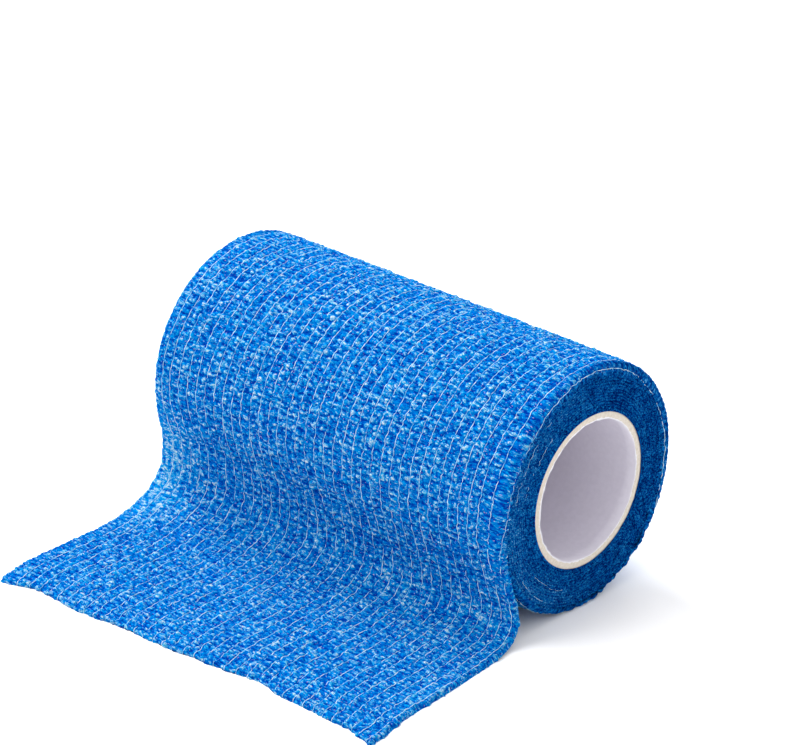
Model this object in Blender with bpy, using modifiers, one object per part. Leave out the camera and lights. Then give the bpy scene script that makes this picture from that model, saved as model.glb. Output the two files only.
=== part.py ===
"""Cohesive bandage roll lying on its side, with its loose end drawn out flat.

Metres, +Z up. +X runs along the roll's axis and the loose end goes towards -Y. The origin is on
the surface that the roll rests on, under the middle of its length.
"""

import math

import bmesh
import bpy

MM = 0.001

# Driving dimensions
WIDTH = 100 * MM  # of the bandage, and so of the roll and its core
CLOTH = 1.0 * MM  # thickness of the outermost turn and of the loose end
BOTTOM_RADIUS = 27.55 * MM  # outside of the outermost turn where it rests
TURN_GROWTH = 0.4 * MM  # how much that radius grows in one turn of the spiral
FLAT_DEPTH = 0.2 * MM  # how far the roll's weight presses its underside flat
CORE_RADIUS = 17.3 * MM
CORE_WALL = 1.5 * MM
CORE_GAP = 0.3 * MM  # between the core and the innermost turn
RIM_ROUND = 1.4 * MM  # radius at which the outermost turn rolls over the roll's ends
AXIS_HEIGHT = BOTTOM_RADIUS - FLAT_DEPTH

# Wound body, under the outermost turn
BODY_RADIUS = 27.2 * MM
BODY_SHORTER = 0.45 * MM  # at each end, so that the outermost turn stands a little proud
BODY_ROUND = 0.95 * MM  # keeps its rims inside the outermost turn's thickness
CORNER_STEPS = 4
ROUND_STEPS = 60

# Outermost turn: angles in degrees about +X, from +Y towards +Z
TURN_START = -138
TURN_END = 204
TURN_STEP = 6
RIM_FADE_START = 174  # from here to the turn's end the rolled rim opens out flat

# Grid of the sheet
RIM_STEPS = 2
MIDDLE_PARTS = 16
PARTS_BETWEEN_SECTIONS = 2
CUT_FADE = 14 * MM  # length over which the cut edge's unevenness dies out

# Top face of the loose end, in mm, from the roll to the cut edge: a row for each section
#   far side (x, y, z)      near side (x, y, z)
TAIL_SECTIONS = (
    ((-50.0, -25.2, 12.4), (50.4, -24.0, 11.2)),
    ((-50.0, -25.3, 9.2), (50.9, -23.3, 8.2)),
    ((-50.0, -26.2, 6.3), (51.3, -23.3, 5.2)),
    ((-50.0, -28.5, 3.6), (51.7, -24.7, 2.8)),
    ((-49.6, -32.3, 1.8), (52.3, -28.3, 1.5)),
    ((-48.3, -37.8, 1.1), (53.0, -34.6, 1.0)),
    ((-46.9, -45.0, 1.0), (53.9, -43.0, 1.0)),
    ((-46.6, -52.0, 1.0), (54.5, -50.0, 1.0)),
    ((-46.5, -59.0, 1.0), (54.9, -57.0, 1.0)),
    ((-46.4, -66.0, 1.0), (55.6, -63.4, 1.0)),
    ((-45.7, -72.6, 1.0), (56.8, -69.0, 1.0)),
    ((-44.2, -78.7, 1.0), (57.3, -74.0, 1.0)),
)

# Cut edge: share of the way across from the far side, and how far the edge falls short, in mm
CUT_EDGE = (
    (0.00, 0.0),
    (0.09, 2.4),
    (0.21, 1.4),
    (0.32, 2.4),
    (0.44, 2.2),
    (0.55, 3.0),
    (0.67, 4.4),
    (0.76, 2.8),
    (0.92, 2.1),
    (1.00, 0.0),
)

# Materials: linear base colour and roughness
CLOTH_LOOK = ((0.012, 0.165, 0.62, 1.0), 0.9)
BOARD_LOOK = ((0.84, 0.78, 0.66, 1.0), 0.8)


def clear_scene():
    for obj in list(bpy.data.objects):
        bpy.data.objects.remove(obj, do_unlink=True)


def new_collection(name):
    collection = bpy.data.collections.new(name)
    bpy.context.scene.collection.children.link(collection)
    return collection


def new_material(name, look):
    color, roughness = look
    material = bpy.data.materials.new(name)
    material.use_nodes = True
    shader = material.node_tree.nodes["Principled BSDF"]
    shader.inputs["Base Color"].default_value = color
    shader.inputs["Roughness"].default_value = roughness
    shader.inputs["Metallic"].default_value = 0.0
    material.diffuse_color = color
    return material


def new_object(name, bm, collection, material):
    mesh = bpy.data.meshes.new(name)
    bm.to_mesh(mesh)
    bm.free()
    mesh.materials.append(material)
    obj = bpy.data.objects.new(name, mesh)
    collection.objects.link(obj)
    return obj


def mix(a, b, share):
    return a + (b - a) * share


def read_table(table, at):
    """The second column of a table at a value of its first, eased between its rows."""
    for (left, low), (right, high) in zip(table, table[1:]):
        if at <= right:
            share = (at - left) / (right - left)
            return mix(low, high, share * share * (3 - 2 * share))
    return table[-1][1]


def spline_point(points, index, share):
    """A Catmull-Rom curve's point between points[index] and points[index + 1]."""
    before = points[index - 1]
    start = points[index]
    end = points[index + 1]
    after = points[min(index + 2, len(points) - 1)]
    result = []
    for a, b, c, d in zip(before, start, end, after):
        turn = 2 * b + (c - a) * share
        bend = (2 * a - 5 * b + 4 * c - d) * share**2
        twist = (3 * b - a - 3 * c + d) * share**3
        result.append((turn + bend + twist) / 2)
    return tuple(result)


def rounded_corner(half_length, outer, rounding):
    """The tube section's outer corner at its near end, from the end face to the outside."""
    if rounding == 0:
        return [(half_length, outer)]
    points = []
    for step in range(CORNER_STEPS + 1):
        angle = math.radians(90 * step / CORNER_STEPS)
        x = half_length - rounding * (1 - math.cos(angle))
        points.append((x, outer - rounding * (1 - math.sin(angle))))
    return points


def turned_tube(name, inner, outer, half_length, rounding, collection, material):
    """A tube about the roll's axis: its closed section is turned by a Screw modifier."""
    corner = rounded_corner(half_length, outer, rounding)
    far_corner = [(-x, radius) for x, radius in reversed(corner)]
    section = [(-half_length, inner), (half_length, inner)] + corner + far_corner
    bm = bmesh.new()
    verts = [bm.verts.new((x, 0.0, radius)) for x, radius in section]
    for vert, following in zip(verts, verts[1:] + verts[:1]):
        bm.edges.new((vert, following))
    tube = new_object(name, bm, collection, material)
    tube.location = (0.0, 0.0, AXIS_HEIGHT)
    screw = tube.modifiers.new("turn", "SCREW")
    screw.axis = "X"
    screw.steps = ROUND_STEPS
    screw.render_steps = ROUND_STEPS
    screw.use_merge_vertices = True
    screw.merge_threshold = 0.00001
    screw.use_smooth_shade = False
    return tube


def turn_sections():
    """Far and near points of the outermost turn, from its hidden start to the loose end."""
    sections = []
    for degrees in range(TURN_START, TURN_END + 1, TURN_STEP):
        angle = math.radians(degrees)
        radius = BOTTOM_RADIUS + TURN_GROWTH * (degrees + 90) / 360
        y = radius * math.cos(angle)
        z = max(0.0, AXIS_HEIGHT + radius * math.sin(angle))
        sections.append((-WIDTH / 2, y, z, WIDTH / 2, y, z))
    return sections


def tail_sections(last_turn_sections):
    """Far and near points of the loose end, on a smooth curve that goes on from the turn."""
    points = list(last_turn_sections)
    for far, near in TAIL_SECTIONS:
        points.append(tuple(value * MM for value in far + near))
    sections = []
    for index in range(1, len(points) - 1):
        for part in range(1, PARTS_BETWEEN_SECTIONS + 1):
            sections.append(spline_point(points, index, part / PARTS_BETWEEN_SECTIONS))
    return sections


def across_places():
    """Shares of the way across from the far side, each with the rolled rim's drop there."""
    rim = []
    for step in range(RIM_STEPS):
        angle = math.radians(90 * (1 - step / RIM_STEPS))
        from_end = RIM_ROUND * (1 - math.sin(angle))
        rim.append((from_end / WIDTH, RIM_ROUND * (1 - math.cos(angle))))
    middle = []
    for part in range(MIDDLE_PARTS + 1):
        middle.append((mix(RIM_ROUND / WIDTH, 1 - RIM_ROUND / WIDTH, part / MIDDLE_PARTS), 0.0))
    far_rim = [(1 - share, drop) for share, drop in reversed(rim)]
    return rim + middle + far_rim


def turn_point(section, across, drop, row):
    """A point of the outermost turn's outer face, rolled in towards the axis at the rims."""
    x = mix(section[0], section[3], across)
    y, z = section[1], section[2]
    degrees = TURN_START + row * TURN_STEP
    open_share = max(0.0, (degrees - RIM_FADE_START) / (TURN_END - RIM_FADE_START))
    towards_axis = drop * (1 - open_share) / math.hypot(y, z - AXIS_HEIGHT)
    return (x, mix(y, 0.0, towards_axis), mix(z, AXIS_HEIGHT, towards_axis))


def tail_point(section, across, cut_y):
    """A point of the loose end's top face."""
    far_x, far_y, far_z, near_x, near_y, near_z = section
    x = mix(far_x, near_x, across)
    y = mix(far_y, near_y, across)
    z = max(CLOTH, mix(far_z, near_z, across))
    fade = max(0.0, 1 - (far_y - cut_y) / CUT_FADE)
    y += read_table(CUT_EDGE, across) * MM * fade
    return (x, y, z)


def cloth_sheet(collection, material):
    """The outermost turn and the loose end, one sheet with a real thickness."""
    turn = turn_sections()
    tail = tail_sections(turn[-2:])
    sections = turn + tail
    places = across_places()
    last_row = len(sections) - 1
    last_place = len(places) - 1

    bm = bmesh.new()
    bmesh.ops.create_grid(bm, x_segments=last_row, y_segments=last_place, size=0.5)
    for vert in bm.verts:
        row = round((vert.co.x + 0.5) * last_row)
        across, drop = places[round((vert.co.y + 0.5) * last_place)]
        if row < len(turn):
            vert.co = turn_point(turn[row], across, drop, row)
        else:
            vert.co = tail_point(sections[row], across, sections[-1][1])
    bmesh.ops.recalc_face_normals(bm, faces=bm.faces)
    sheet = new_object("sheet_to_join", bm, collection, material)
    solidify = sheet.modifiers.new("thickness", "SOLIDIFY")
    solidify.thickness = CLOTH
    solidify.offset = -1.0
    sheet.hide_render = True
    sheet.display_type = "WIRE"
    return sheet


def bandage(parts, helpers, material):
    """The wound cloth, with its outermost turn and loose end joined to it as one solid."""
    body = turned_tube(
        "bandage",
        CORE_RADIUS + CORE_GAP,
        BODY_RADIUS,
        WIDTH / 2 - BODY_SHORTER,
        BODY_ROUND,
        parts,
        material,
    )
    union = body.modifiers.new("outermost turn and loose end", "BOOLEAN")
    union.operation = "UNION"
    union.solver = "EXACT"
    union.use_self = True
    union.object = cloth_sheet(helpers, material)
    return body


def core(parts, material):
    """The cardboard tube that the bandage is wound on, cut flush with it."""
    inner = CORE_RADIUS - CORE_WALL
    return turned_tube("core", inner, CORE_RADIUS, WIDTH / 2, 0, parts, material)


def main():
    clear_scene()
    parts = new_collection("cohesive bandage roll")
    helpers = new_collection("helpers")
    bandage(parts, helpers, new_material("bandage_cloth", CLOTH_LOOK))
    core(parts, new_material("core_board", BOARD_LOOK))


main()
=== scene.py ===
"""Looks of the cohesive bandage roll: crinkled cloth, elastic threads, wound ends, paper core."""
import math

import bpy
import numpy as np
from mathutils import Matrix


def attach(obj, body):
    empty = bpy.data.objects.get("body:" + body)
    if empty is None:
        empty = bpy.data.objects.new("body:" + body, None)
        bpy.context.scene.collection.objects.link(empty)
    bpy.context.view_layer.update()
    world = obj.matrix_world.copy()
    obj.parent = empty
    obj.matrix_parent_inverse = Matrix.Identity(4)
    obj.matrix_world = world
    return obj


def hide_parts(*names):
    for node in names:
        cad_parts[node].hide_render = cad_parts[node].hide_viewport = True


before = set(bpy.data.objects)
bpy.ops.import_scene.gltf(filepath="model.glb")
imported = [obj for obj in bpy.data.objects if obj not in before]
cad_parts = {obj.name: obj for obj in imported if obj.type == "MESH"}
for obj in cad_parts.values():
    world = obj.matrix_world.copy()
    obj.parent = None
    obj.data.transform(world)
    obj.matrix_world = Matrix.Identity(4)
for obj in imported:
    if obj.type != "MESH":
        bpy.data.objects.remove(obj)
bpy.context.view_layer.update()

MM = 0.001

# Roll, in mm, as the solids have it
BOTTOM_RADIUS = 27.55
TURN_GROWTH = 0.4  # of the outermost turn's radius in one turn
AXIS_HEIGHT = 27.35
HALF_LENGTH = 50.0
RIM_ROUND = 1.4
CORE_RADIUS = 17.3
CORE_WALL = 1.5
CORE_INNER = CORE_RADIUS - CORE_WALL
CLOTH = 1.0  # thickness of the loose end

# Outermost turn: angles in degrees about +X, from +Y towards +Z
TURN_FROM = -190.0
TURN_BACK_END = 20.0
SHEET_FROM = 180.0  # the loose end's own sheet starts here, while it still lies on the roll
TURN_TO = 204.0
OPEN_FROM = 174.0  # from here to TURN_TO the rolled rim opens out flat
START_DIP = 0.7  # the turn's hidden start is sunk under the turn above it
START_FADE = 32.0

# How far the outermost turn lies off centre along the roll: angle, mm
WANDER = (
    (-190, -0.7),
    (-90, -0.8),
    (-50, -0.3),
    (-10, 2.1),
    (30, 2.4),
    (90, 0.8),
    (130, -0.1),
    (170, -0.7),
    (204, -0.9),
)

# How much further the near edge's last band reaches over the roll's end: angle, mm
OVERHANG = (
    (-190, 0.0),
    (100, 0.0),
    (120, 0.9),
    (142, 1.9),
    (175, 2.2),
    (204, 1.0),
)

# Bands at the cloth's edges: where they start, in mm from its middle, and the fade into them
FAR_STEADY_BAND = (44.0, 5.5)  # doesn't wander with the rest
NEAR_OVERHANG_BAND = (45.5, 4.2)
CALM_BAND = (45.5, 1.5)
NEAR_SHADED_BAND = (45.0, 1.5)
FRAYED_BAND = (49.1, 1.2)
CUT_BAND_IN_FRONT = (49.6, 0.8)
PAINTED_SHADE_BAND_BEHIND = (46.5, 1.5)
PAINTED_SHADE_BEHIND = 0.85  # painted shade on the outer bands behind the roll's top, where 1 is the full look of a cut edge

# The far edge is drawn flat where it leaves the roll, and painted paler there as painted light, in
# mm
BEND_MIDDLE = (-30.0, 8.0)  # Y and Z
BEND_AREA_REACH = (4.8, 16.0)  # from the bend's middle to the fade, and the fade's length
BEND_AREA_SIDE = (33.0, 14.0)  # from the cloth's middle to the fade, and the fade's length
DRAWN_FLATTER = 0.35
BEND_PAINTED_LIGHT = 0.31

# The outermost bands and the cut edges are calmer, and their ends are frayed
CALM_FLATTER = 0.3
CALM_EVENER = 0.15
CUT_HEIGHT = 0.6  # share of the crinkles' height that stays
CUT_SUNK = 0.08  # mm
CUT_EVENER = 0.25
NEAR_SHADE = 0.12
SHADE_HEIGHT = (20.0, 15.0)  # above the surface, where that shade starts, and its fade
FRAY_OUT = 0.40  # of the frayed edges, along the roll
FRAY_UP = 0.16

# Spacing of the cloth's grid, in mm
FRONT_STEP = 0.27
BACK_STEP = 0.34
TAIL_STEP = 0.32
COLUMNS_PER_BAND = 8

# Elastic threads: they run along the cloth, with a band of crinkled cloth between each two
THREADS = 38
THREAD_PITCH = 2.68
FIRST_THREAD = -49.58
EDGE_STEPS = (0.4, 0.8, 1.2, 1.6, 2.0)  # of the cloth beyond the outermost threads
THREAD_RADIUS = 0.062
THREAD_LIFT = 0.07  # above the cloth's own surface
THREAD_STEP = 0.45
THREAD_DIP = 0.11  # into the crinkles, here and there
LOOSE_THREAD_DIP = 0.16
THREAD_DIP_LENGTH = 1.3
THREAD_JOG = 0.15  # sideways
THREAD_JOG_LENGTH = 0.75

# Edge of the loose end, which rolls down to the floor
EDGE_ROUND = 0.9
EDGE_DEPTH = CLOTH + 0.1  # at most
FLAT_HALF = 50.0  # of the cloth, between its rolled edges
OUTLINE_HALF = FLAT_HALF + EDGE_ROUND
CUT_FADE = 14.0
UNDERSIDE_LIFT = 0.12  # how much less than CLOTH the loose end's underside lies down
THIN_FROM = 48.0  # from here, off the cloth's middle, the underside closes up to the edge
THIN_FADE = 3.5

# Threads that show on the near end: radius, and the angles between which they show
EDGE_ARCS = (
    (20.5, 125, 146),
    (20.9, 149, 152),
    (21.0, 155, 166),
    (24.2, 124, 132),
    (23.9, 137, 154),
    (24.0, 157, 169),
    (21.5, 222, 236),
    (21.9, 239, 255),
    (24.5, 214, 224),
    (24.8, 229, 240),
)
ARC_STEP = 1.2  # degrees
ARC_DEPTH = 0.10
ARC_WAVES = (0.12, 26, 3.0)  # towards the axis: size, waves per radian, noise row per mm
ARC_WAVES_OUT = (0.35, 30, 5.0)  # the same, along the axis

# Crinkles: two rows of small puffs lie between each two threads
PUFF_LENGTH = 1.53
VALLEY = -0.30
CREST = 0.60
PUFF_STRENGTH = (0.45, 1.0)  # the weakest puff's and the strongest one's
PUFFS_IN_ROW = 512  # before their strengths repeat
PUFF_FULLNESS = 0.8  # the smaller, the fuller, along the cloth
BAND_FULLNESS = 0.6  # and across it
LOW_BY_THREAD = 0.35  # share of a puff's height that stays beside a thread

# Unevenness: size, spacing along the cloth, spacing across it, seed, all in mm but the seed
PUFF_DRIFT = ((0.50, 3.2, 4.5, 21),)  # of the puffs along the cloth: its size is in puffs
ROW_DRIFT = ((0.22, 1.2, 1.0, 22),)  # of each row of puffs, also in puffs
SPLIT_DRIFT = ((0.2, 1.3, 1.0, 20),)  # of the line between a band's two rows, in bands
ROUGHNESS = ((0.12, 0.85, 0.75, 31), (0.08, 0.5, 0.45, 32))
SIDEWAYS = ((0.10, 2.2, 2.0, 41), (0.10, 0.9, 1.6, 42))
FORWARD = ((0.16, 1.5, 1.2, 43),)
FRAYING = ((1.0, 1.1, 1.0, 44),)
UNDERSIDE = ((0.10, 1.2, 1.1, 51),)
RAGGED_CUT = ((0.3, 1.2, 1.0, 12), (0.15, 0.5, 1.0, 13))
TURN_UNEVENNESS = ((0.15, 21.0, 1.0, 11),)  # of the wander: its spacing is in degrees

# Top face of the loose end, in mm: far side (x, y, z), near side (x, y, z)
TAIL_SECTIONS = (
    ((-50.0, -25.2, 12.4), (50.4, -24.0, 11.2)),
    ((-50.0, -25.3, 9.2), (50.9, -23.3, 8.2)),
    ((-50.0, -26.2, 6.3), (51.3, -23.3, 5.2)),
    ((-50.0, -28.5, 3.6), (51.7, -24.7, 2.8)),
    ((-49.6, -32.3, 1.8), (52.3, -28.3, 1.5)),
    ((-48.3, -37.8, 1.1), (53.0, -34.6, 1.0)),
    ((-46.9, -45.0, 1.0), (53.9, -43.0, 1.0)),
    ((-46.6, -52.0, 1.0), (54.5, -50.0, 1.0)),
    ((-46.5, -59.0, 1.0), (54.9, -57.0, 1.0)),
    ((-46.4, -66.0, 1.0), (55.6, -63.4, 1.0)),
    ((-45.7, -72.6, 1.0), (56.8, -69.0, 1.0)),
    ((-44.2, -78.7, 1.0), (57.3, -74.0, 1.0)),
)
TAIL_LEAD = 6.0  # degrees of the turn that lead into this curve
TAIL_SAMPLES = 1200

# Cut edge: share of the way across from the far side, and how far the edge falls short, in mm
CUT_EDGE = (
    (0.00, 0.0),
    (0.09, 2.4),
    (0.21, 1.4),
    (0.32, 2.4),
    (0.44, 2.2),
    (0.55, 3.0),
    (0.67, 4.4),
    (0.76, 2.8),
    (0.92, 2.1),
    (1.00, 0.0),
)

# Wound ends: the crinkled edges of the turns round the core, in mm
END_OUTER = 26.9
END_INNER = CORE_RADIUS - 0.1
END_RING_STEP = 0.13
END_AROUND = 520
END_DEPTH = 0.16  # behind the roll's end
END_TURN = 0.62  # thickness of a turn that shows
END_GROOVE = 0.22  # depth between two turns
END_WOBBLE = (0.10, 3.0)  # of those turns: size and spacing
END_GRAIN = (0.16, 0.34)
END_SWELL = (0.07, 1.5)
END_RELIEF = 0.5  # height between what is painted darkest, as shade in the grooves, and brightest, as highlight on what stands up
COLLAR = 0.21  # the cloth stands up against the core
COLLAR_WIDTH = 0.8
RIM_DIP = 0.45  # and falls away under the outermost turn's rim
RIM_DIP_FROM = 25.7
RIM_DIP_WIDTH = 1.1

# Looks of the wound ends: painted shade darkens the side towards the back, and painted light pales
# that towards the front and the swells.
# A range is where a change starts, and its length, in the angle's cosine or in mm
END_BACK_PAINTED_SHADE = 0.08
END_BACK_RANGE = (-0.1, 0.6)
END_FRONT_PAINTED_LIGHT = 0.30
END_FRONT_RANGE = (-0.8, 1.0)
END_PAINTED_LIGHT_RADII = (19.0, 4.0)
END_SWELL_PAINTED_LIGHT = 0.05

# Core
CORE_AROUND = 300
CORE_RIM_POINTS = 6
CORE_WALL_POINTS = 34
CORE_TORN = 0.16  # unevenness of the cut's inner edge
CORE_PAPER = 0.28  # how far the lining's paper stands in from it
CORE_CUT_ROUGH = 0.05

# Pale fibres of the cloth, partly real and partly painted glints of its shiny coat: noise scales
# per mm of cloth, and widths of lines
ALONG_SCALE = 1.9  # the fibres lie across the cloth, so they are finer along it
PIT_SCALE = 1.3
FIBRES = (1.45, 0.062)
CROSSING_FIBRES = (1.3, 0.056)
PATCH_SCALE = 0.9
SPECK_SCALE = 1.7
PATCHES = ((0.42, 0.0), (0.58, 1.0))  # noise, and how much the fibres show there
SPECKS = ((0.68, 0.0), (0.73, 0.55))  # noise, and how much the specks show there
PIT_SHADE_SHARE = 0.66  # of the tone: the pits that the bump sinks are painted darker as shade, its rises paler
RELIEF_PAINTED_LIGHT_SHARE = 0.35
FIBRE_AND_GLINT_SHARE = 0.25
END_SCALES = (2.5, 1.6)  # how much finer the wound ends' cloth looks, along Y and along Z

# Tones and linear colours, from the painted shade of the cloth's pits to the pale fibres and
# painted highlights of its crests
BODY_TONES = (
    (0.37, (0.0, 0.037, 0.33)),
    (0.48, (0.0, 0.121, 0.53)),
    (0.57, (0.0, 0.205, 0.62)),
    (0.66, (0.0, 0.295, 0.67)),
    (0.73, (0.08, 0.44, 0.68)),
    (0.79, (0.35, 0.61, 0.71)),
    (0.88, (0.68, 0.72, 0.78)),
)
# Darker tones of the cut edges, partly their own and partly painted shade on the wound ends
CUT_AND_SHADE_TONES = (
    (0.385, (0.0, 0.010, 0.10)),
    (0.50, (0.0, 0.049, 0.27)),
    (0.62, (0.0, 0.116, 0.46)),
    (0.745, (0.015, 0.26, 0.62)),
)
THREAD_TONES = (
    (0.38, (0.09, 0.41, 0.73)),
    (0.50, (0.37, 0.67, 0.82)),
    (0.62, (0.70, 0.87, 0.89)),
)
SPECK_COLOR = (0.66, 0.55, 0.68)
BOARD_CUT_TONES = ((0.35, (0.54, 0.485, 0.41)), (0.65, (0.62, 0.565, 0.50)))
LINING_TONES = ((0.35, (0.66, 0.63, 0.71)), (0.65, (0.69, 0.66, 0.74)))
PAPER_COLOR = (0.72, 0.71, 0.76)
PAPER_EDGE = ((0.36, 1.0), (0.44, 0.0))  # mm from the core's inside, and how much it shows
PAPER_TORN = 0.7

# Camera: place, and its angles in radians
CAMERA_PLACE = (0.4723959, -0.54484925, 0.36654433)
CAMERA_AZIMUTH = 0.71729
CAMERA_ELEVATION = 0.42789
CAMERA_ROLL = 0.03472
LENS = 166.97

# Lights: name, place, target, size in metres, power in watts
LIGHTS = (
    ("key", (-0.6, -0.85, 1.05), (0, -0.02, 0.02), 0.9, 11),
    ("side", (-0.75, 0.12, 0.55), (0, -0.03, 0.02), 0.4, 8.5),
    ("fill", (1.1, -0.3, 0.7), (0, 0, 0.03), 1.6, 1.5),
    ("top", (0, -0.1, 1.6), (0, -0.05, 0), 1.2, 3),
    ("back", (-0.4, 1.0, 1.0), (0, 0, 0.03), 0.8, 3),
)
STUDIO_STRENGTH = 0.94
FLOOR_HALF = 3.0
FLOOR_COLOR = (0.95, 0.95, 0.95, 1)


# Numbers


def mix(a, b, share):
    return a + (b - a) * share


def ease(share):
    share = np.clip(share, 0.0, 1.0)
    return share * share * (3 - 2 * share)


def rise(value, start, length):
    """0 up to the start, 1 from a length further on, and eased between."""
    return ease((value - start) / length)


def noise(u, v, seed):
    """Smooth noise from -1 to 1, on a lattice with a spacing of one."""
    table = np.random.default_rng(seed).uniform(-1, 1, (257, 257))
    u, v = np.broadcast_arrays(u, v)
    row = np.floor(u).astype(int)
    column = np.floor(v).astype(int)
    across = ease(u - row)
    along = ease(v - column)
    low = mix(table[row % 257, column % 257], table[(row + 1) % 257, column % 257], across)
    column = column + 1
    high = mix(table[row % 257, column % 257], table[(row + 1) % 257, column % 257], across)
    return mix(low, high, along)


def uneven(kinds, along, across):
    """Noises added up: each kind gives a size, its spacing along and across, and a seed."""
    total = 0.0
    for size, step_along, step_across, seed in kinds:
        total = total + size * noise(along / step_along, across / step_across, seed)
    return total


def unit(vectors):
    return vectors / np.maximum(np.linalg.norm(vectors, axis=-1, keepdims=True), 1e-9)


def spline(points, places):
    """Catmull-Rom curve through the points, read at fractional indices."""
    points = np.asarray(points, float)
    index = np.clip(np.floor(places).astype(int), 0, len(points) - 2)
    share = (places - index)[:, None]
    before = points[np.maximum(index - 1, 0)]
    start = points[index]
    end = points[index + 1]
    after = points[np.minimum(index + 2, len(points) - 1)]
    turn = 2 * start + (end - before) * share
    bend = (2 * before - 5 * start + 4 * end - after) * share**2
    twist = (3 * start - before - 3 * end + after) * share**3
    return (turn + bend + twist) / 2


def eased_table(table, places):
    """A table's second column at values of its first, eased between its rows."""
    knots, values = map(np.array, zip(*table))
    row = np.clip(np.searchsorted(knots, places, side="right") - 1, 0, len(knots) - 2)
    share = (places - knots[row]) / (knots[row + 1] - knots[row])
    return mix(values[row], values[row + 1], ease(share))


def grid_normals(points, wrap=False):
    """Unit normals of a grid of points, from its neighbours in both directions."""
    along = np.gradient(points, axis=0)
    if wrap:
        across = (np.roll(points, -1, axis=1) - np.roll(points, 1, axis=1)) / 2
    else:
        across = np.gradient(points, axis=1)
    return unit(np.cross(along, across))


# Cloth surface: rows run along the cloth, from its hidden start to its cut edge, and columns
# across it, from its far edge to its near edge


def cloth_columns():
    """Places across the cloth, in mm from its middle, and which of them carry a thread."""
    steps = np.arange((THREADS - 1) * COLUMNS_PER_BAND + 1) * THREAD_PITCH / COLUMNS_PER_BAND
    middle = FIRST_THREAD + steps
    far = [middle[0] - step for step in reversed(EDGE_STEPS)]
    near = [middle[-1] + step for step in EDGE_STEPS]
    thread_columns = len(far) + np.arange(THREADS) * COLUMNS_PER_BAND
    return np.concatenate([far, middle, near]), thread_columns


def rolled(width, flat_half, radius):
    """How far out the cloth lies, and how far down, where its edges roll over a radius."""
    beyond = np.maximum(np.abs(width) - flat_half, 0.0)
    angle = np.minimum(beyond / radius, math.pi / 2)
    past = np.maximum(beyond - radius * math.pi / 2, 0.0)
    tucked_in = 0.06 * past + 0.4 * np.maximum(past - 1.0, 0.0)  # under the edge
    out = np.minimum(np.abs(width), flat_half) + radius * np.sin(angle) - tucked_in
    down = radius * (1 - np.cos(angle)) + past
    return np.sign(width) * out, down


def even_count(length, step):
    return 2 * int(round(length / step / 2))


def turn_angles():
    """Angles of the outermost turn's rows, and the rows at which its pieces end."""
    around = 2 * math.pi * BOTTOM_RADIUS / 360
    back = even_count((TURN_BACK_END - TURN_FROM) * around, BACK_STEP)
    front = even_count((SHEET_FROM - TURN_BACK_END) * around, FRONT_STEP)
    last = even_count((TURN_TO - SHEET_FROM) * around, FRONT_STEP)
    angles = np.concatenate(
        [
            np.linspace(TURN_FROM, TURN_BACK_END, back, endpoint=False),
            np.linspace(TURN_BACK_END, SHEET_FROM, front, endpoint=False),
            np.linspace(SHEET_FROM, TURN_TO, last + 1),
        ]
    )
    return angles, back, back + front


def sunk_start(angles):
    return START_DIP * (1 - rise(angles, TURN_FROM, START_FADE))


def turn_lines(angles):
    """The far and near edge lines of the outermost turn."""
    sunk = sunk_start(angles)
    radius = BOTTOM_RADIUS + TURN_GROWTH * (angles + 90) / 360 - sunk
    y = radius * np.cos(np.radians(angles))
    z = AXIS_HEIGHT + radius * np.sin(np.radians(angles))
    far = np.stack([sunk - HALF_LENGTH, y, z], axis=1)
    near = np.stack([HALF_LENGTH - sunk, y, z], axis=1)
    return far, near


def tail_lines():
    """The far and near edge lines of the loose end, from the roll to its cut edge."""
    far, near = turn_lines(np.array([TURN_TO - TAIL_LEAD, TURN_TO]))
    far = np.concatenate([far, [row[0] for row in TAIL_SECTIONS]])
    near = np.concatenate([near, [row[1] for row in TAIL_SECTIONS]])
    places = np.linspace(1, len(far) - 1, TAIL_SAMPLES)
    far_line = spline(far, places)
    near_line = spline(near, places)
    middle = (far_line + near_line) / 2
    length = np.concatenate([[0], np.cumsum(np.linalg.norm(np.diff(middle, axis=0), axis=1))])
    rows = even_count(length[-1], TAIL_STEP) + 1
    places = np.interp(np.linspace(0, length[-1], rows + 1)[1:], length, places)
    return spline(far, places), spline(near, places)


def wound_across(width, turned):
    """Where the wound cloth lies along the roll, and how far in towards the axis at its rims."""
    # The cloth isn't wound quite square: it wanders along the roll
    wander = eased_table(WANDER, turned) + uneven(TURN_UNEVENNESS, turned, 0.5)
    wound = width[None, :] + wander[:, None] * (1 - rise(-width, *FAR_STEADY_BAND))
    wound += eased_table(OVERHANG, turned)[:, None] * rise(width, *NEAR_OVERHANG_BAND)
    out, down = rolled(wound, HALF_LENGTH - RIM_ROUND, RIM_ROUND)
    out *= (1 - sunk_start(turned) / HALF_LENGTH)[:, None]
    return out, down


def wound_cut_look_and_shade(width, turned):
    """How much the wound cloth looks like its dark cut edge, from 0 to 1, with painted shade on
    its outer bands behind the roll's top.
    """
    from_middle = np.abs(width)[None, :]
    start, fade = CUT_BAND_IN_FRONT
    # It narrows where the turn comes down at the front, and behind the roll's top it spreads over
    # the outer bands as painted shade
    narrower = rise(turned, 165, 25)[:, None]
    in_front = ease((from_middle - start - narrower) / fade)
    # Painted shade: the outer bands behind the roll's top take the cut edge's dark tones
    behind = PAINTED_SHADE_BEHIND * (1 - rise(turned, 62, 45))[:, None]
    return np.maximum(in_front, behind * rise(from_middle, *PAINTED_SHADE_BAND_BEHIND))


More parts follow.
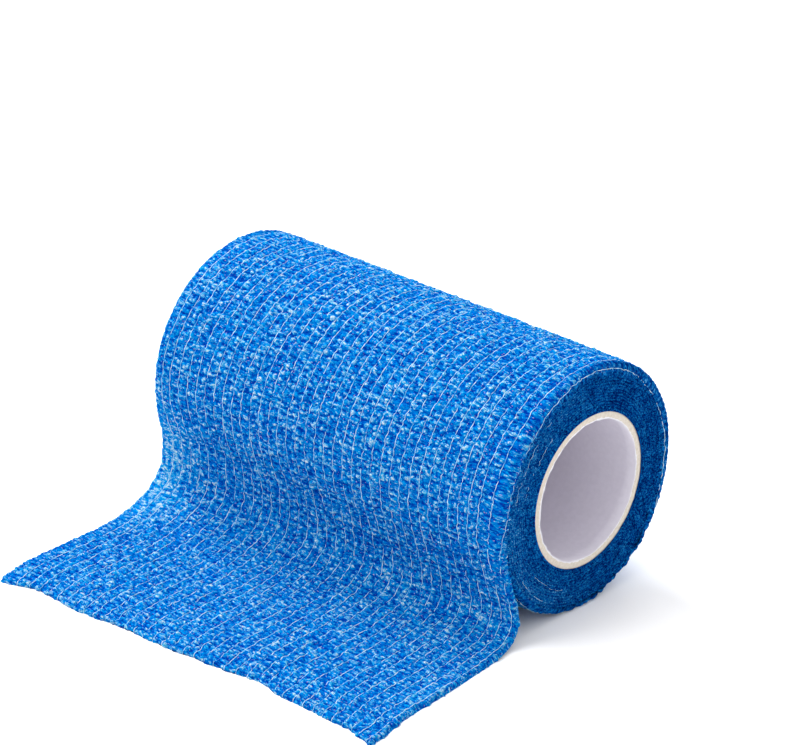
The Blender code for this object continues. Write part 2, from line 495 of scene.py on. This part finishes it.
def flat_sheet(width, far, near):
    """Points of the sheet between its edge lines, how far down it rolls, and its lengths."""
    out, side_down = rolled(width, FLAT_HALF, EDGE_ROUND)
    share = (out + OUTLINE_HALF) / (2 * OUTLINE_HALF)
    points = mix(far[:, None, :], near[:, None, :], share[None, :, None])
    cut_y = TAIL_SECTIONS[-1][0][1]
    fade = np.maximum(0.0, 1 - (far[:, 1] - cut_y) / CUT_FADE)
    retreat = eased_table(CUT_EDGE, share) + EDGE_ROUND + uneven(RAGGED_CUT, width, 0.5)
    points[..., 1] += retreat[None, :] * fade[:, None]
    length = np.zeros(points.shape[:2])
    length[1:] = np.cumsum(np.linalg.norm(np.diff(points, axis=0), axis=2), axis=0)

    # The cut edge rolls down to the floor
    steps = np.array(EDGE_STEPS)
    cut_out, cut_down = rolled(steps, 0.0, EDGE_ROUND)
    outward = unit(points[-1] - points[-3])
    cut_rows = points[-1] + outward * cut_out[:, None, None]
    down = np.broadcast_to(side_down, length.shape)
    down = np.concatenate([down, side_down + cut_down[:, None]])
    points = np.concatenate([points, cut_rows])
    length = np.concatenate([length, length[-1:] + steps[:, None]])
    return points, np.minimum(down, EDGE_DEPTH), length


def cloth_base(width):
    """Smooth surface of the cloth, its lengths, its look of a cut edge with painted shade behind
    the roll's top, and its pieces' ends.
    """
    angles, back_rows, sheet_row = turn_angles()
    turn_far, turn_near = turn_lines(angles)
    tail_far, tail_near = tail_lines()
    far = np.concatenate([turn_far, tail_far])
    near = np.concatenate([turn_near, tail_near])
    along = unit(np.gradient((far + near) / 2, axis=0))
    up = unit(np.cross(along, unit(near - far)))
    up = np.concatenate([up, np.repeat(up[-1:], len(EDGE_STEPS), axis=0)])[:, None, :]
    turned = np.concatenate([angles, np.full(len(up) - len(angles), TURN_TO)])
    curled = (1 - rise(turned, OPEN_FROM, TURN_TO - OPEN_FROM))[:, None]

    flat, flat_down, length = flat_sheet(width, far, near)
    roll_out, roll_down = wound_across(width, turned)
    on_roll = flat.copy()
    on_roll[..., 0] = roll_out
    on_roll -= up * roll_down[..., None]
    base = mix(flat - up * flat_down[..., None], on_roll, curled[..., None])
    return base, length, wound_cut_look_and_shade(width, turned) * curled, back_rows, sheet_row


def crinkle(length, width):
    """Height of the crinkled cloth, in mm, and the same from 0 in a pit to 1 on a crest."""
    # Each band and each row of puffs reads the noise at a place of its own
    band_spacing, row_spacing = 7.3, 5.7
    width = width[None, :]
    place = (width - FIRST_THREAD) / THREAD_PITCH
    band = np.clip(np.floor(place + 1e-6), -1, THREADS - 1).astype(int)
    across = np.where(band < 0, (place + 1) * 0.5 + 0.5, place - band)
    split = 0.5 + uneven(SPLIT_DRIFT, length, band * band_spacing)
    second = across > split
    row = 2 * band + second
    beside = np.where(second, (1 - across) / (1 - split), across / split)

    # Puffs keep step from band to band, and drift out of step over a few bands
    phase = length / PUFF_LENGTH + uneven(PUFF_DRIFT, length, width)
    phase += uneven(ROW_DRIFT, length, row * row_spacing)
    number = np.floor(phase).astype(int)
    rows = 2 * THREADS + 2
    strengths = np.random.default_rng(5).uniform(*PUFF_STRENGTH, (rows, PUFFS_IN_ROW))
    puff = strengths[row + 2, number % PUFFS_IN_ROW]
    puff = puff * np.sin(math.pi * (phase - number)) ** PUFF_FULLNESS
    swell = np.sin(math.pi * np.clip(beside, 0, 1)) ** BAND_FULLNESS
    height = VALLEY + CREST * puff * mix(LOW_BY_THREAD, 1.0, swell)
    height += uneven(ROUGHNESS, length, width)
    level = np.clip((height - VALLEY) / CREST, 0, 1)
    return height, level


def cloth_surface():
    """The crinkled cloth: its points and normals, and what its material and threads need."""
    width, thread_columns = cloth_columns()
    base, length, cut_look_and_shade, back_rows, sheet_row = cloth_base(width)
    height, level = crinkle(length, width)
    height = mix(height, height * CUT_HEIGHT - CUT_SUNK, cut_look_and_shade)
    calm = rise(np.abs(width), *CALM_BAND)[None, :]
    bend_y, bend_z = BEND_MIDDLE
    from_bend = np.hypot(base[..., 1] - bend_y, base[..., 2] - bend_z)
    drawn_and_painted_lit = rise(-base[..., 0], *BEND_AREA_SIDE) * (1 - rise(from_bend, *BEND_AREA_REACH))
    height *= 1 - CALM_FLATTER * calm - DRAWN_FLATTER * drawn_and_painted_lit
    # Painted light: the cloth's far side is painted paler where it leaves the roll
    level = mix(level, 0.5, CALM_EVENER * calm) + BEND_PAINTED_LIGHT * drawn_and_painted_lit
    shaded = rise(width, *NEAR_SHADED_BAND)[None, :] * rise(base[..., 2], *SHADE_HEIGHT)
    level -= NEAR_SHADE * shaded
    level = mix(level, 0.5, CUT_EVENER * cut_look_and_shade)

    out = grid_normals(base)
    along = unit(np.gradient(base, axis=0))
    across = unit(np.gradient(base, axis=1))
    sideways = uneven(SIDEWAYS, length, width[None, :])
    forward = uneven(FORWARD, length, width[None, :])
    fraying = rise(np.abs(width), *FRAYED_BAND) * uneven(FRAYING, length, np.sign(width) * 9.5)
    chord = unit(base[:, thread_columns[-1]] - base[:, thread_columns[0]])[:, None, :]
    points = base + out * height[..., None]
    points += across * sideways[..., None] + along * forward[..., None]
    points += (FRAY_OUT * chord + FRAY_UP * out) * fraying[..., None]
    points[..., 2] = np.maximum(points[..., 2], 0.02)
    weave = np.stack([np.broadcast_to(width, length.shape), length, level], axis=-1)
    return {
        "base": base,
        "out": out,
        "points": points,
        "normals": grid_normals(points),
        "weave": weave,
        "edge": cut_look_and_shade,
        "thread_columns": thread_columns,
        "back_rows": back_rows,
        "sheet_row": sheet_row,
    }


# Meshes


def grid_quads(rows, columns, wrap=False, start=0):
    """Quads of a grid of points, row by row, which may close on itself across its columns."""
    last = columns if wrap else columns - 1
    row, column = np.meshgrid(np.arange(rows - 1), np.arange(last), indexing="ij")
    following = (column + 1) % columns
    corners = [
        row * columns + column,
        (row + 1) * columns + column,
        (row + 1) * columns + following,
        row * columns + following,
    ]
    return np.stack(corners, axis=-1).reshape(-1, 4) + start


def mesh_piece(
    name,
    points,
    quads,
    materials,
    normals=None,
    weave=None,
    edge=None,
    triangles=None,
    part_of="bandage",
):
    """A mesh object from arrays, in mm, which rides on the part and stands for one solid."""
    corners = quads.ravel()
    starts = np.arange(len(quads)) * 4
    if triangles is not None:
        starts = np.concatenate([starts, len(corners) + np.arange(len(triangles)) * 3])
        corners = np.concatenate([corners, triangles.ravel()])
    mesh = bpy.data.meshes.new(name)
    mesh.vertices.add(len(points))
    mesh.vertices.foreach_set("co", (points * MM).astype(np.float32).ravel())
    mesh.loops.add(len(corners))
    mesh.loops.foreach_set("vertex_index", corners.astype(np.int32))
    mesh.polygons.add(len(starts))
    mesh.polygons.foreach_set("loop_start", starts.astype(np.int32))
    mesh.update(calc_edges=True)
    mesh.polygons.foreach_set("use_smooth", np.ones(len(starts), bool))
    if weave is not None:
        attribute = mesh.attributes.new("weave", "FLOAT_VECTOR", "POINT")
        attribute.data.foreach_set("vector", weave.astype(np.float32).ravel())
    # edge: how far the cut edge's darker tones show, which also carries painted light and shade
    if edge is not None:
        attribute = mesh.attributes.new("edge", "FLOAT", "POINT")
        attribute.data.foreach_set("value", edge.astype(np.float32).ravel())
    if normals is not None:
        mesh.normals_split_custom_set_from_vertices(normals.astype(np.float32))
    for material in materials:
        mesh.materials.append(material)
    piece = bpy.data.objects.new(name, mesh)
    bpy.context.scene.collection.objects.link(piece)
    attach(piece, "root")
    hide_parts(part_of)
    return piece


def tubes(paths, radius, sides=4):
    """Points and quads of thin closed tubes along the paths, in mm."""
    points = []
    quads = []
    start = 0
    for path, outs in paths:
        along = unit(np.gradient(path, axis=0))
        side = unit(np.cross(along, outs))
        up = np.cross(side, along)
        rings = []
        for step in range(sides):
            angle = 2 * math.pi * (step + 0.5) / sides
            rings.append(path + radius * (math.cos(angle) * side + math.sin(angle) * up))
        ring = np.stack(rings, axis=1)
        points.append(ring.reshape(-1, 3))
        body = grid_quads(len(path), sides, wrap=True, start=start)
        first = np.arange(sides)[None, :] + start
        last = (np.arange(sides)[::-1] + (len(path) - 1) * sides)[None, :] + start
        quads += [body, first, last]
        start += len(path) * sides
    return np.concatenate(points), np.concatenate(quads)


# Shader nodes


def new_material(name):
    material = bpy.data.materials.new(name)
    material.use_nodes = True
    return material, material.node_tree, material.node_tree.nodes["Principled BSDF"]


def add(tree, kind, inputs=(), **settings):
    """A node, with its settings, and with its inputs linked or set."""
    node = tree.nodes.new(kind)
    for key, value in settings.items():
        setattr(node, key, value)
    for key, value in dict(inputs).items():
        if isinstance(value, bpy.types.NodeSocket):
            tree.links.new(value, node.inputs[key])
        else:
            node.inputs[key].default_value = value
    return node


def ramp(tree, factor, stops):
    """Colours, or greys given as one number, at places along a factor."""
    node = tree.nodes.new("ShaderNodeValToRGB")
    tree.links.new(factor, node.inputs["Fac"])
    elements = node.color_ramp.elements
    while len(elements) < len(stops):
        elements.new(0.5)
    for element, (position, color) in zip(elements, stops):
        if not isinstance(color, tuple):
            color = (color, color, color)
        element.position = position
        element.color = (*color, 1.0)
    return node.outputs["Color"]


def math_node(tree, operation, a, b=0.0):
    return add(tree, "ShaderNodeMath", {0: a, 1: b}, operation=operation).outputs[0]


def add_scaled(tree, base, extra, scale):
    node = add(tree, "ShaderNodeMath", {0: extra, 1: scale, 2: base}, operation="MULTIPLY_ADD")
    return node.outputs[0]


def blend_colors(tree, factor, a, b):
    """The colour a, going over into b, which may be a colour of its own or a node's."""
    if isinstance(b, tuple):
        b = (*b, 1.0)
    return add(tree, "ShaderNodeMix", {0: factor, 6: a, 7: b}, data_type="RGBA").outputs[2]


def fine_noise(tree, place, scale, detail=1.0, distortion=0.0):
    values = {"Vector": place, "Scale": scale, "Detail": detail, "Distortion": distortion}
    return add(tree, "ShaderNodeTexNoise", values).outputs["Fac"]


def weave_place(tree):
    """Place on the cloth: across and along it in mm, and the crinkles' level."""
    weave = add(tree, "ShaderNodeAttribute", attribute_name="weave").outputs["Vector"]
    return weave, add(tree, "ShaderNodeSeparateXYZ", {"Vector": weave}).outputs


def fibre_lines(tree, place, scale, width):
    """Thin wandering lines, 1 on them and 0 off them."""
    wandering = fine_noise(tree, place, scale, 1.0, 1.4)
    ridge = math_node(tree, "ABSOLUTE", math_node(tree, "SUBTRACT", wandering, 0.5))
    return ramp(tree, ridge, ((width * 0.3, 1.0), (width, 0.0)))


def add_bump(tree, shader, height, strength, distance):
    values = {"Height": height, "Strength": strength, "Distance": distance * MM}
    bump = add(tree, "ShaderNodeBump", values).outputs["Normal"]
    tree.links.new(bump, shader.inputs["Normal"])


def cloth_material():
    """Crinkled cloth: painted shade in its pits, pale fibres and painted highlights on its crests,
    darker on its cut edges, partly as painted shade.
    """
    material, tree, shader = new_material("crinkled_cloth")
    edge = add(tree, "ShaderNodeAttribute", attribute_name="edge").outputs["Fac"]
    _, parts = weave_place(tree)
    along = math_node(tree, "MULTIPLY", parts["Y"], ALONG_SCALE)
    flat = add(tree, "ShaderNodeCombineXYZ", {"X": parts["X"], "Y": along}).outputs[0]
    crossing = {"X": along, "Y": parts["X"], "Z": 7.0}
    crossing = add(tree, "ShaderNodeCombineXYZ", crossing).outputs[0]

    pits = fine_noise(tree, flat, PIT_SCALE, 3.0)
    fibres = fibre_lines(tree, flat, *FIBRES)
    lines = math_node(tree, "MAXIMUM", fibres, fibre_lines(tree, crossing, *CROSSING_FIBRES))
    patches = ramp(tree, fine_noise(tree, crossing, PATCH_SCALE), PATCHES)
    fibres_and_glints = math_node(tree, "MULTIPLY", lines, patches)
    # The fine pits that the bump sinks are painted darker, as shade
    tone = math_node(tree, "MULTIPLY", pits, PIT_SHADE_SHARE)
    # Painted shade in the crinkles' pits and painted highlight on their crests, from their height
    tone = add_scaled(tree, tone, parts["Z"], RELIEF_PAINTED_LIGHT_SHARE)
    # Pale fibres, which also stand for painted glints of the cloth's shiny coat
    tone = add_scaled(tree, tone, fibres_and_glints, FIBRE_AND_GLINT_SHARE)
    specks = ramp(tree, fine_noise(tree, crossing, SPECK_SCALE), SPECKS)
    body = blend_colors(tree, specks, ramp(tree, tone, BODY_TONES), SPECK_COLOR)
    # The edge attribute blends in the darker tones: on the cut edges, and as painted light and
    # shade on the outer bands and wound ends
    color = blend_colors(tree, edge, body, ramp(tree, tone, CUT_AND_SHADE_TONES))
    tree.links.new(color, shader.inputs["Base Color"])
    add_bump(tree, shader, add_scaled(tree, pits, lines, 0.5), 0.8, 0.25)
    shader.inputs["Roughness"].default_value = 0.7
    shader.inputs["Specular IOR Level"].default_value = 0.0
    return material


def thread_material():
    material, tree, shader = new_material("elastic_thread")
    place = add(tree, "ShaderNodeTexCoord").outputs["Object"]
    color = ramp(tree, fine_noise(tree, place, 900.0, 2.0), THREAD_TONES)
    tree.links.new(color, shader.inputs["Base Color"])
    shader.inputs["Roughness"].default_value = 0.45
    return material


def board_material(name, tones, scale, torn=False):
    """Cardboard of the core: on its cut the lining's white paper stands out, torn."""
    material, tree, shader = new_material(name)
    place = add(tree, "ShaderNodeTexCoord").outputs["Object"]
    fibre = fine_noise(tree, place, scale, 3.0)
    color = ramp(tree, fibre, tones)
    if torn:
        weave, parts = weave_place(tree)
        radius = add_scaled(tree, parts["Z"], fine_noise(tree, weave, 1.3, 2.0), PAPER_TORN)
        paper = ramp(tree, math_node(tree, "SUBTRACT", radius, CORE_INNER), PAPER_EDGE)
        color = blend_colors(tree, paper, color, PAPER_COLOR)
    tree.links.new(color, shader.inputs["Base Color"])
    add_bump(tree, shader, fibre, 0.3, 0.1)
    shader.inputs["Roughness"].default_value = 0.75
    shader.inputs["Specular IOR Level"].default_value = 0.25
    return material


# Pieces


def turn_pieces(surface, material):
    """The outermost turn, down to where the loose end's sheet starts."""
    back = surface["back_rows"]
    for name, first, last in (
        ("outer_turn_back", 0, back),
        ("outer_turn_front", back, surface["sheet_row"]),
    ):
        rows = slice(first, last + 1)
        points = surface["points"][rows]
        mesh_piece(
            name,
            points.reshape(-1, 3),
            grid_quads(*points.shape[:2]),
            [material],
            normals=surface["normals"][rows].reshape(-1, 3),
            weave=surface["weave"][rows].reshape(-1, 3),
            edge=surface["edge"][rows].ravel(),
        )


def loose_underside(surface, coarse):
    """The loose end's underside, and its weave, on a coarser grid than its crinkled face."""
    width = surface["weave"][coarse][..., 0]
    length = surface["weave"][coarse][..., 1]
    closing = np.clip((np.abs(width) - THIN_FROM) / THIN_FADE, 0, 1) ** 2
    thick = CLOTH - UNDERSIDE_LIFT + uneven(UNDERSIDE, length, width)
    under = surface["base"][coarse] - surface["out"][coarse] * (thick * (1 - closing))[..., None]
    over = surface["points"][coarse]
    under[..., 2] = np.maximum(np.minimum(under[..., 2], over[..., 2] - 0.015), 0.004)
    weave = surface["weave"][coarse].copy()
    weave[..., 0] += 230.0  # so that its fibres aren't those of the face
    weave[..., 2] = 0.45
    return under, weave


def loose_walls(number, under_number):
    """Quads and triangles that close the loose end between its face and coarser underside."""
    quads = []
    triangles = []
    for line, under_line in (
        (number[:, 0], under_number[:, 0]),
        (number[-1, :], under_number[-1, :]),
        (number[::-1, -1], under_number[::-1, -1]),
        (number[0, ::-1], under_number[0, ::-1]),
    ):
        start, middle, end = line[:-2:2], line[1:-1:2], line[2::2]
        below, below_end = under_line[:-1], under_line[1:]
        triangles.append(np.stack([middle, start, below], axis=1))
        quads.append(np.stack([end, middle, below, below_end], axis=1))
    return np.concatenate(quads), np.concatenate(triangles)


def loose_end(surface, material):
    """The loose end, a closed sheet: its crinkled face, and an underside on a coarser grid."""
    first = surface["sheet_row"]
    coarse = (slice(first, None, 2), slice(None, None, 2))
    top = surface["points"][first:]
    under, under_weave = loose_underside(surface, coarse)
    rows, columns = top.shape[:2]
    under_rows, under_columns = under.shape[:2]

    count = rows * columns
    number = np.arange(count).reshape(rows, columns)
    under_number = np.arange(under_rows * under_columns).reshape(under_rows, under_columns) + count
    lower = grid_quads(under_rows, under_columns, start=count)[:, ::-1]
    walls, wall_triangles = loose_walls(number, under_number)
    normals = [surface["normals"][first:].reshape(-1, 3), -grid_normals(under).reshape(-1, 3)]
    weave = [surface["weave"][first:].reshape(-1, 3), under_weave.reshape(-1, 3)]
    edge = [surface["edge"][first:].ravel(), surface["edge"][coarse].ravel()]
    return mesh_piece(
        "loose_end",
        np.concatenate([top.reshape(-1, 3), under.reshape(-1, 3)]),
        np.concatenate([grid_quads(rows, columns), lower, walls]),
        [material],
        normals=np.concatenate(normals),
        weave=np.concatenate(weave),
        edge=np.concatenate(edge),
        triangles=wall_triangles,
    )


def thread_path(surface, number, first, last, dipping):
    """One thread's points and outward directions, between two rows of the cloth."""
    column = surface["thread_columns"][number]
    length = surface["weave"][first : last + 1, column, 1]
    steps = int(round((length[-1] - length[0]) / THREAD_STEP))
    places = np.linspace(length[0], length[-1], steps + 1)
    rows = np.clip(np.searchsorted(length, places), 0, len(length) - 1) + first
    path = surface["points"][rows, column]
    outs = surface["out"][rows, column]
    dips = noise(places / THREAD_DIP_LENGTH, number * 3.7, seed=61)
    lift = THREAD_LIFT + dipping * (dips - 0.1)
    jog = THREAD_JOG * noise(places / THREAD_JOG_LENGTH, number * 5.3, seed=62)
    side = unit(np.cross(np.gradient(path, axis=0), outs))
    path = path + outs * lift[:, None] + side * jog[:, None]
    path[:, 2] = np.maximum(path[:, 2], THREAD_RADIUS + 0.01)
    return path, outs


def thread_pieces(surface, material):
    """Elastic threads along the cloth: on the roll, and on the loose end."""
    turn = surface["sheet_row"]
    end = len(surface["points"]) - 1
    pieces = []
    for name, first_thread, first, last, dipping in (
        ("roll_threads", 0, 0, turn, THREAD_DIP),
        ("loose_end_threads", 1, turn, end, LOOSE_THREAD_DIP),  # its first lies under the edge
    ):
        paths = []
        for number in range(first_thread, THREADS):
            paths.append(thread_path(surface, number, first, last, dipping))
        points, quads = tubes(paths, THREAD_RADIUS)
        pieces.append(mesh_piece(name, points, quads, [material]))
    return pieces


def wound_end(name, side, material):
    """One end of the wound cloth: the crinkled edges of its turns round the core."""
    rings = int((END_OUTER - END_INNER) / END_RING_STEP)
    radius = np.linspace(END_INNER, END_OUTER, rings)[:, None]
    angle = np.linspace(0, 2 * math.pi, END_AROUND, endpoint=False)[None, :]
    y = radius * np.cos(angle)
    z = radius * np.sin(angle)
    size, spacing = END_WOBBLE
    wobble = size * noise(y / spacing, z / spacing, seed=71 + side)
    turns = np.abs(np.sin(math.pi * ((radius + wobble) / END_TURN - angle / (2 * math.pi))))
    height = END_GROOVE * (turns**0.7 - 1)
    size, spacing = END_GRAIN
    height = height + size * noise(y / spacing, z / spacing, seed=73 + side)
    size, spacing = END_SWELL
    swell = noise(y / spacing, z / spacing, seed=75 + side)
    height = height + size * swell
    dip = RIM_DIP * rise(radius, RIM_DIP_FROM, RIM_DIP_WIDTH)
    collar = 1 - rise(radius, END_INNER, COLLAR_WIDTH)
    x = side * (HALF_LENGTH - END_DEPTH + mix(height, COLLAR, collar) - dip)
    points = np.stack([x, y, z + AXIS_HEIGHT], axis=-1)
    points[..., 2] = np.maximum(points[..., 2], 0.3)

    # Painted shade in the grooves between the turns, and painted highlight on what stands up
    level = np.clip(0.5 + height / END_RELIEF, 0, 1)
    # Painted shade: the side towards the back is darkened
    level = level - END_BACK_PAINTED_SHADE * rise(np.cos(angle), *END_BACK_RANGE)
    weave = np.stack([y * END_SCALES[0], z * END_SCALES[1], level], axis=-1)
    # Painted light: the outer turns towards the front are paled, and the swells too, as painted
    # highlight
    pale = rise(radius, *END_PAINTED_LIGHT_RADII) * (1 - rise(np.cos(angle), *END_FRONT_RANGE))
    look = 1 - END_FRONT_PAINTED_LIGHT * pale - END_SWELL_PAINTED_LIGHT * swell
    quads = grid_quads(rings, END_AROUND, wrap=True)
    normals = grid_normals(points, wrap=True)
    if side < 0:
        quads = quads[:, ::-1]
        normals = -normals
    mesh_piece(
        name,
        points.reshape(-1, 3),
        quads,
        [material],
        normals=normals.reshape(-1, 3),
        weave=weave.reshape(-1, 3),
        # The edge attribute carries the cut edge's dark tones together with this painted light
        edge=look.ravel(),
    )


def edge_threads(material):
    """Bits of the inner turns' edge threads that show on the near end."""
    paths = []
    for radius, first, last in EDGE_ARCS:
        steps = int((last - first) / ARC_STEP)
        angle = np.radians(np.linspace(first, last, steps + 1))
        size, waves, row = ARC_WAVES
        around = radius + size * noise(angle * waves, radius * row, seed=91)
        size, waves, row = ARC_WAVES_OUT
        x = HALF_LENGTH - ARC_DEPTH + size * noise(angle * waves, radius * row, seed=92)
        place = [x, around * np.cos(angle), around * np.sin(angle) + AXIS_HEIGHT]
        path = np.stack(place, axis=1)
        paths.append((path, np.broadcast_to((1.0, 0.0, 0.0), path.shape)))
    points, quads = tubes(paths, 0.5 * THREAD_RADIUS)
    mesh_piece("edge_threads", points, quads, [material])


def core_tube(cut_material, lining_material):
    """The paper core, with a rough cut at each end."""
    rim = np.linspace(0, 1, CORE_RIM_POINTS)
    wall = np.linspace(1, -1, CORE_WALL_POINTS)[1:-1]
    near_cut = [(HALF_LENGTH, mix(CORE_RADIUS, CORE_INNER, share)) for share in rim]
    lining = [(HALF_LENGTH * share, CORE_INNER) for share in wall]
    far_cut = [(-HALF_LENGTH, mix(CORE_INNER, CORE_RADIUS, share)) for share in rim]
    profile = np.array(near_cut + lining + far_cut)
    rows = len(profile)
    angle = np.linspace(0, 2 * math.pi, CORE_AROUND, endpoint=False)[None, :]
    x = np.repeat(profile[:, :1], CORE_AROUND, axis=1)
    radius = np.repeat(profile[:, 1:], CORE_AROUND, axis=1)
    inner_rims = [CORE_RIM_POINTS - 1, rows - CORE_RIM_POINTS]
    torn = noise(angle * 14, x[inner_rims], seed=81)
    radius[inner_rims] += CORE_TORN * torn - CORE_PAPER
    cut = np.abs(profile[:, 0]) == HALF_LENGTH
    rough = CORE_CUT_ROUGH * (noise(angle * 20, radius[cut] * 3, seed=82) - 1)
    x[cut] += np.sign(x[cut]) * rough
    y = radius * np.cos(angle)
    z = radius * np.sin(angle) + AXIS_HEIGHT

    # The section closes along the core's outside, from its last row back to its first
    quads = grid_quads(rows, CORE_AROUND, wrap=True)[:, ::-1]
    first = np.arange(CORE_AROUND)
    following = (first + 1) % CORE_AROUND
    last = (rows - 1) * CORE_AROUND
    outside = np.stack([last + following, following, first, last + first], axis=1)
    weave = np.stack([x, angle * CORE_INNER + 0 * x, radius], axis=-1)
    piece = mesh_piece(
        "core_tube",
        np.stack([x, y, z], axis=-1).reshape(-1, 3),
        np.concatenate([quads, outside]),
        [cut_material, lining_material],
        weave=weave.reshape(-1, 3),
        part_of="core",
    )
    row = np.repeat(np.arange(rows), CORE_AROUND)
    lined = (row >= inner_rims[0]) & (row < inner_rims[1])
    piece.data.polygons.foreach_set("material_index", lined.astype(np.int32))


# Camera, lights and floor


def make_camera():
    back = (
        math.sin(CAMERA_AZIMUTH) * math.cos(CAMERA_ELEVATION),
        -math.cos(CAMERA_AZIMUTH) * math.cos(CAMERA_ELEVATION),
        math.sin(CAMERA_ELEVATION),
    )
    right = (math.cos(CAMERA_AZIMUTH), math.sin(CAMERA_AZIMUTH), 0.0)
    up = np.cross(back, right)
    turned_right = math.cos(CAMERA_ROLL) * np.array(right) + math.sin(CAMERA_ROLL) * up
    turned_up = math.cos(CAMERA_ROLL) * up - math.sin(CAMERA_ROLL) * np.array(right)
    data = bpy.data.cameras.new("camera")
    data.sensor_width = 36.0
    data.lens = LENS
    camera = bpy.data.objects.new("camera", data)
    place_object(camera, (turned_right, turned_up, back), CAMERA_PLACE)
    bpy.context.scene.camera = camera


def place_object(item, axes, place):
    """Link an object into the scene, with its own axes and place in the world."""
    rows = [list(map(float, row)) + [at] for row, at in zip(zip(*axes), place)]
    item.matrix_world = Matrix(rows + [[0, 0, 0, 1]])
    bpy.context.scene.collection.objects.link(item)


def area_light(name, place, target, size, power):
    data = bpy.data.lights.new(name, "AREA")
    data.shape = "DISK"
    data.size = size
    data.energy = power
    back = unit(np.array(place, float) - np.array(target, float))
    right = unit(np.cross((0, 0, 1), back))
    light = bpy.data.objects.new(name, data)
    place_object(light, (right, np.cross(back, right), back), place)


def make_light():
    world = bpy.data.worlds.new("studio")
    world.use_nodes = True
    background = world.node_tree.nodes["Background"]
    background.inputs["Color"].default_value = (1, 1, 1, 1)
    background.inputs["Strength"].default_value = STUDIO_STRENGTH
    bpy.context.scene.world = world
    bpy.context.scene.view_settings.view_transform = "Standard"
    for light in LIGHTS:
        area_light(*light)


def make_stage():
    mesh = bpy.data.meshes.new("floor")
    half = FLOOR_HALF
    corners = [(-half, -half, 0), (half, -half, 0), (half, half, 0), (-half, half, 0)]
    mesh.from_pydata(corners, [], [(0, 1, 2, 3)])
    material, _, shader = new_material("floor")
    shader.inputs["Base Color"].default_value = FLOOR_COLOR
    shader.inputs["Roughness"].default_value = 0.9
    shader.inputs["Specular IOR Level"].default_value = 0.0
    mesh.materials.append(material)
    floor = bpy.data.objects.new("floor", mesh)
    bpy.context.scene.collection.objects.link(floor)


def main():
    make_camera()
    make_light()
    make_stage()
    surface = cloth_surface()
    cloth = cloth_material()
    threads = thread_material()
    turn_pieces(surface, cloth)
    end = loose_end(surface, cloth)
    roll_threads, end_threads = thread_pieces(surface, threads)
    wound_end("wound_end_near", 1, cloth)
    wound_end("wound_end_far", -1, cloth)
    edge_threads(threads)
    core_tube(
        board_material("cut_board", BOARD_CUT_TONES, 1500.0, torn=True),
        board_material("core_lining", LINING_TONES, 900.0),
    )


main()
